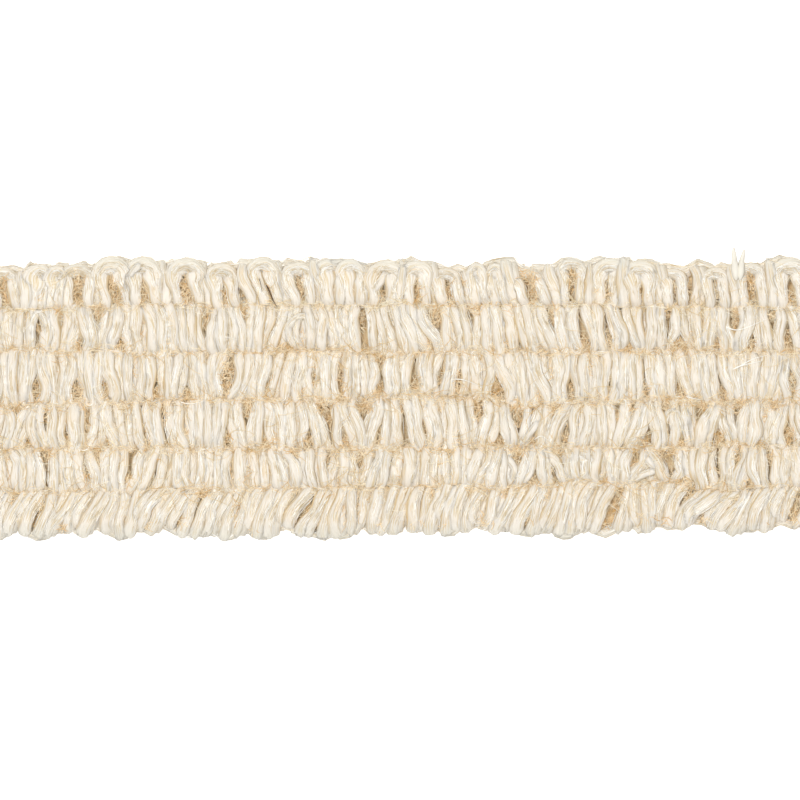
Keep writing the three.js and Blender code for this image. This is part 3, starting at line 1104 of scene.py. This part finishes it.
def makeTanHair(name, dark, light):
    material, tree, shader = newMaterial(name, {"Roughness": 0.6, "Specular IOR Level": 0.35})
    add = partial(addNode, tree)
    shade = add("ShaderNodeAttribute", attribute_name="shade").outputs["Fac"]
    place = add("ShaderNodeTexCoord").outputs["Object"]
    blotches = add("ShaderNodeTexNoise", {"Vector": place, "Scale": tanJute["blotches"], "Detail": 1.0})
    both = add(maths, (shade, blotches), operation="ADD")
    tone = add("ShaderNodeMapRange", (both, *tanJute["shades"]))
    sources = {"Factor": tone, 6: fromHex(dark), 7: fromHex(light)}
    colour = add("ShaderNodeMix", sources, data_type="RGBA").outputs[2]
    tree.links.new(colour, shader.inputs["Base Color"])
    return material


def makeHairs(name, hairs, width, material, sides=3, node=None):
    # fibres of one width, in millimetres, as one piece
    values = {"Thickness": width * mm, "Sides": sides, "Material": material}
    return makePiece(name, hairs, hairTree, values, node)


def hair(chance, x, y, z, heading, length, curl=1.4, arch=0.3, steps=6):
    # a curved hair that starts at a place and wanders off
    points = []
    bend = chance.uniform(-curl, curl)
    for i in range(steps):
        share = i / (steps - 1)
        points.append([x, y, z + arch * math.sin(math.pi * share), 1.1 - 0.5 * share])
        x += math.cos(heading) * length / (steps - 1)
        y += math.sin(heading) * length / (steps - 1)
        heading += bend / (steps - 1) + chance.uniform(-0.2, 0.2)
    return points


def overCloth(points, lift):
    # lets a hair follow the rows' height
    for point in points:
        point[2] = clothHeight(point[0], point[1]) + lift
    return points


def onTape(hairs):
    # leaves out the hairs that would reach past the cut ends
    return [points for points in hairs if all(abs(point[0]) < tapeEnd for point in points)]


# The binding: two thin threads twisted loosely, with a beard of hairs along the furrow.
binding = {
    "threadWidth": 0.36,
    "threadHeight": 2.9,
    "threadSize": (0.8, 1.2),
    "turnLength": 4.5,
    "turnRadius": 0.22,
    "wander": 0.2,
    "wanderKept": 0.8,
    "step": 1.2,
    "endMargin": 0.2,
    "hairsPerMillimetre": 10,
    "hairWidth": 0.13,
    "hairLength": (1.2, 4.2),
    "hairLift": (-0.6, 0.3),
    "hairFan": 0.75,
    "hairMargin": 0.5,
    "spread": 0.4,
    "strayHairs": 150,
    "strayLength": (3, 7),
    "straySpread": 2.5,
    "strayLift": 0.08,
    "strayMargin": 3,
    "strawDark": "#e2c792",
    "strawLight": "#fff6e0",
}


def plyRoute(line, ply, chance):
    # one of the two threads, which starts at its own side of the twist
    points = []
    drift = 0
    start = tapeEnd - binding["endMargin"]
    for i in range(int(2 * start / binding["step"]) + 1):
        x = i * binding["step"] - tapeEnd + binding["endMargin"]
        drift = drift * binding["wanderKept"] + chance.uniform(-1, 1) * binding["wander"]
        angle = x / binding["turnLength"] * 2 * math.pi + ply
        y = between(line, x) + drift + binding["turnRadius"] * math.cos(angle)
        z = binding["threadHeight"] + binding["turnRadius"] * math.sin(angle)
        points.append([x, y, z, chance.uniform(*binding["threadSize"])])
    return points


def furrowHairs(line, chance):
    hairs = []
    for _ in range(int(2 * tapeEnd * binding["hairsPerMillimetre"])):
        x = chance.uniform(-tapeEnd + binding["hairMargin"], tapeEnd - binding["hairMargin"])
        y = between(line, x) + chance.gauss(0, binding["spread"])
        heading = chance.gauss(0, binding["hairFan"]) + chance.choice((0, math.pi))
        length = chance.uniform(*binding["hairLength"])
        points = hair(chance, x, y, 0, heading, length)
        hairs.append(overCloth(points, chance.uniform(*binding["hairLift"])))
    return onTape(hairs)


def strayHairs(line, chance):
    hairs = []
    for _ in range(binding["strayHairs"]):
        x = chance.uniform(-tapeEnd + binding["strayMargin"], tapeEnd - binding["strayMargin"])
        y = between(line, x) + chance.gauss(0, binding["straySpread"])
        length = chance.uniform(*binding["strayLength"])
        heading = chance.uniform(0, 2 * math.pi)
        points = hair(chance, x, y, 0, heading, length, curl=1.8, steps=7)
        hairs.append(overCloth(points, binding["strayLift"]))
    return onTape(hairs)


def makeBindings():
    thread = makeTanHair("raw jute binding thread", tanJute["dark"], tanJute["light"])
    straw = makeTanHair("stray raw jute hair", binding["strawDark"], binding["strawLight"])
    width = binding["hairWidth"]
    pieces = []
    for k, line in enumerate(furrows):
        chance = random.Random(seeds["bindings"] + k)
        plies = [plyRoute(line, ply, chance) for ply in (0, math.pi)]
        pieces.append(makeHairs(f"binding_thread_{k + 1}", plies, binding["threadWidth"], thread,
                                7, f"binding_{k + 1}"))
        # the first furrow's beard is paler than the others'
        for name, hairs, material in (("binding_hairs", furrowHairs(line, chance), thread if k else straw),
                                      ("stray_hairs", strayHairs(line, chance), straw)):
            pieces.append(makeHairs(f"{name}_{k + 1}", hairs, width, material))
    return pieces


bindings = makeBindings()
print("binding threads laid")

# Fuzz in the gaps, where the hairy ground shows between the loops, and the fringe at the cut ends.
fuzz = {
    "hairsPerSquareMillimetre": 10,
    "hairWidth": 0.15,
    "length": (1.0, 3.2),
    "height": (2.7, 4.3),
    "spread": 0.6,
    "dark": "#dbb070",
    "light": "#ffedcb",
    "fringeHairs": 900,
    "fringeLength": (1.2, 2.8),
    "fringeRoot": (0.8, 1.8),
    "fringeHeight": (0.4, 2.1),
    "fringeHalfWidth": 24.5,
    "fringeFan": 0.35,
}


def makeFuzz():
    chance = random.Random(seeds["fuzz"])
    material = makeTanHair("raw jute fuzz", fuzz["dark"], fuzz["light"])
    pieces = []
    for row, chart in enumerate(rowCharts):
        hairs = []
        for x, y, width, height in chart["gaps"]:
            for _ in range(int(3 + width * height * fuzz["hairsPerSquareMillimetre"])):
                angle = chance.uniform(0, 2 * math.pi)
                out = math.sqrt(chance.random()) * fuzz["spread"]
                hairX = x + width * out * math.cos(angle)
                hairY = y + height * out * math.sin(angle)
                heading = chance.uniform(0, 2 * math.pi)
                length = chance.uniform(*fuzz["length"])
                hairX -= math.cos(heading) * length / 2
                hairY -= math.sin(heading) * length / 2
                z = chance.uniform(*fuzz["height"])
                hairs.append(hair(chance, hairX, hairY, z, heading, length, curl=1.8, steps=5))
        pieces.append(makeHairs(f"ground_fuzz_{row + 1}", onTape(hairs), fuzz["hairWidth"], material))
    return pieces


def makeFringe():
    # the tape is cut across at both ends, so its fibres stick out there in a short fringe
    chance = random.Random(seeds["fringe"])
    half = fuzz["fringeHalfWidth"]
    hairs = []
    for side in (-1, 1):
        for _ in range(fuzz["fringeHairs"]):
            y = chance.uniform(-half, half)
            x = side * (tapeEnd - chance.uniform(*fuzz["fringeRoot"]))
            heading = chance.gauss(0, fuzz["fringeFan"]) + (0 if side > 0 else math.pi)
            length = chance.uniform(*fuzz["fringeLength"])
            z = chance.uniform(*fuzz["fringeHeight"])
            hairs.append(hair(chance, x, y, z, heading, length, curl=0.8, arch=0.2, steps=5))
    material = makeTanHair("cut jute ends", binding["strawDark"], binding["strawLight"])
    return makeHairs("end_fringe", hairs, fuzz["hairWidth"], material)


groundFuzz = makeFuzz() + [makeFringe()]
print("fuzz in the gaps made")

# The ground: a plain weave of coarse tan jute, as a closed sheet with the weave in relief.
ground = {
    "inset": 1.7,
    "pitch": 2.0,
    "thickness": 1.0,
    "relief": 0.34,
    "width": 50,
    "underStep": 0.7,
    "upperStep": 1.5,
    "dark": "#e3bd87",
    "light": "#f8e1b8",
    "tones": (0.75, 1.25),
    "bump": 0.6,
    "bumpDepth": 0.15,
    "fibresAlong": 500,
    "fibresAcross": 5000,
    "fibresDeep": 2000,
}


def weaveHeight(x, y):
    # how far the surface stands out at a place of a plain weave, from 0 to 1
    u, v = x / ground["pitch"], y / ground["pitch"]
    crimp = abs(math.cos(math.pi * u) * math.cos(math.pi * v))
    over = 1 if (round(u) + round(v)) % 2 == 0 else -1
    warp = 0.55 * math.cos(math.pi * (v - round(v))) + 0.45 * over * crimp
    weft = 0.55 * math.cos(math.pi * (u - round(u))) - 0.45 * over * crimp
    return max(warp, weft, 0)


def makeGroundMaterial():
    finish = {"Roughness": 0.85, "Specular IOR Level": 0.25}
    material, tree, shader = newMaterial("plain woven raw jute", finish)
    add = partial(addNode, tree)
    place = add("ShaderNodeTexCoord").outputs["Object"]
    # fibres along both ways of the weave, about 0.2 mm across
    ways = []
    long, fine, deep = ground["fibresAlong"], ground["fibresAcross"], ground["fibresDeep"]
    for scale in ((long, fine, deep), (fine, long, deep)):
        stretched = add("ShaderNodeMapping", {"Vector": place, "Scale": scale})
        ways.append(add("ShaderNodeTexNoise", {"Vector": stretched, "Scale": 1.0, "Detail": 2.0}))
    both = add(maths, ways, operation="ADD")
    tone = add("ShaderNodeMapRange", (both, *ground["tones"]))
    sources = {"Factor": tone, 6: fromHex(ground["dark"]), 7: fromHex(ground["light"])}
    colour = add("ShaderNodeMix", sources, data_type="RGBA").outputs[2]
    tree.links.new(colour, shader.inputs["Base Color"])
    bump = add("ShaderNodeBump", {"Height": both, "Strength": ground["bump"],
                                  "Distance": ground["bumpDepth"] * mm})
    tree.links.new(bump.outputs[0], shader.inputs["Normal"])
    return material


def makeGround():
    vertices = []
    faces = []
    for under in (True, False):
        step = ground["underStep"] if under else ground["upperStep"]
        columns = round(2 * tapeEnd / step)
        lines = round(ground["width"] / step)
        start = len(vertices)
        for i in range(columns + 1):
            x = -tapeEnd + 2 * tapeEnd * i / columns
            low = between(rowCharts[5]["outline"], x) + ground["inset"]
            high = between(rowCharts[0]["outline"], x) - ground["inset"]
            for j in range(lines + 1):
                y = low + (high - low) * j / lines
                rim = min(j, lines - j) == 0 or min(i, columns - i) == 0
                out = 0 if rim else weaveHeight(x, y) * ground["relief"]
                z = ground["relief"] - out if under else ground["thickness"] - ground["relief"] + out
                vertices.append((x * mm, y * mm, z * mm))
        for i in range(columns):
            for j in range(lines):
                a = start + i * (lines + 1) + j
                b = a + lines + 1
                faces.append((a, a + 1, b + 1, b) if under else (a, b, b + 1, a + 1))
    mesh = bpy.data.meshes.new("ground_sheet")
    mesh.from_pydata(vertices, [], faces)
    sheet = linked("ground_sheet", mesh)
    work = bmesh.new()
    work.from_mesh(mesh)
    bmesh.ops.bridge_loops(work, edges=[edge for edge in work.edges if edge.is_boundary])
    bmesh.ops.recalc_face_normals(work, faces=work.faces)
    work.to_mesh(mesh)
    work.free()
    mesh.shade_smooth()
    mesh.materials.append(makeGroundMaterial())
    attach(sheet, "root")
    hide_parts("ground")
    return sheet


groundSheet = makeGround()
print("ground woven")

# Pale loose fibres that lie along the yarn, and the colours of the charted ones.
looseFibres = {
    "perRow": 2100,
    "width": 0.12,
    "points": (5, 8),
    "aside": 0.9,
    "farthest": 1.1,
    "dull": "#d8c49c",
    "pale": "#fffdf7",
    "chartedColours": {
        "dark": ("#3d2c1c", "#5e452c"),
        "pale": ("#f6f0e2", "#fffcf4"),
        "tuft": ("#dcd7c8", "#e4dfd2"),
    },
}

# Single fibres that stand out in the photo: shade, width in millimetres and points.
fibreChart = [
    ("dark", 0.32, [(266, 285), (269, 290), (273, 300), (277, 307)]),
    ("dark", 0.14, [(259, 278), (261, 285), (262, 292)]),
    ("tuft", 1.8, [(736, 280), (735, 262), (734, 247)]),
    ("tuft", 1.6, [(740, 280), (742, 262), (745, 249)]),
    ("pale", 0.24, [(722, 325), (735, 330), (748, 327), (766, 319)]),
    ("pale", 0.3, [(729, 371), (740, 366), (753, 359), (768, 355)]),
    ("pale", 0.24, [(733, 368), (748, 364), (762, 361)]),
    ("pale", 0.24, [(684, 396), (692, 398), (702, 400)]),
    ("pale", 0.24, [(452, 379), (464, 380), (480, 386)]),
    ("pale", 0.24, [(534, 440), (541, 436), (549, 441)]),
    ("pale", 0.24, [(214, 340), (226, 337), (238, 340)]),
    ("pale", 0.24, [(178, 401), (190, 404), (204, 401)]),
]


def fibreAlong(route, chance):
    # a fibre on top of the yarn, drifting over from one side of it to the other
    count = chance.randint(*looseFibres["points"])
    start = chance.randint(1, len(route) - 2 * count - 1)
    aside = chance.uniform(-looseFibres["aside"], looseFibres["aside"])
    drift = chance.uniform(-1, 1) / count
    farthest = looseFibres["farthest"]
    points = []
    for k in range(count):
        i = start + 2 * k
        x, y, z, size, roll = route[i]
        dx = route[i + 1][0] - route[i - 1][0]
        dy = route[i + 1][1] - route[i - 1][1]
        length = math.hypot(dx, dy) or 1
        u = min(max(aside + drift * k, -farthest), farthest)
        out = u * size * yarn["width"] / 2
        rise = size * yarn["thickness"] / 2 * math.sqrt(max(1 - u * u, 0.04))
        thin = 1 if 0 < k < count - 1 else 0.5
        height = z + rise + chance.uniform(0, 0.1)
        points.append([x - dy / length * out, y + dx / length * out, height, thin])
    return points


def chartedFibre(width, marks):
    # thin at its root, full soon after and thin again at its tip
    path = smoothPath(marks, 4)
    fibre = []
    for i, (x, y) in enumerate(path):
        share = i / (len(path) - 1)
        size = width / looseFibres["width"] * min(0.3 + 3 * share, 1.12 - 0.9 * share)
        fibre.append([x, y, clothHeight(x, y) - 0.2 + 2 * min(share, 0.35), size])
    return fibre


def makeLooseFibres():
    material = makeTanHair("loose bleached jute fibre", looseFibres["dull"], looseFibres["pale"])
    width = looseFibres["width"]
    for row, route in enumerate(routes):
        chance = random.Random(seeds["looseFibres"] + row)
        lengths = [len(points) for points in route]
        chosen = chance.choices(route, weights=lengths, k=looseFibres["perRow"])
        fibres = [fibreAlong(points, chance) for points in chosen]
        makeHairs(f"loose_fibres_{row + 1}", fibres, width, material)
    for shade, (dark, light) in looseFibres["chartedColours"].items():
        material = makeTanHair(f"{shade} jute fibre", dark, light)
        fibres = [chartedFibre(size, marks) for mark, size, marks in fibreChart if mark == shade]
        makeHairs(f"{shade}_fibres", fibres, width, material, 6)


makeLooseFibres()
print("loose fibres laid")

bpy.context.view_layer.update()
meshes = [piece.data for piece in bpy.data.objects if piece.type == "MESH"]
print("triangles", sum(len(face.vertices) - 2 for mesh in meshes for face in mesh.polygons))
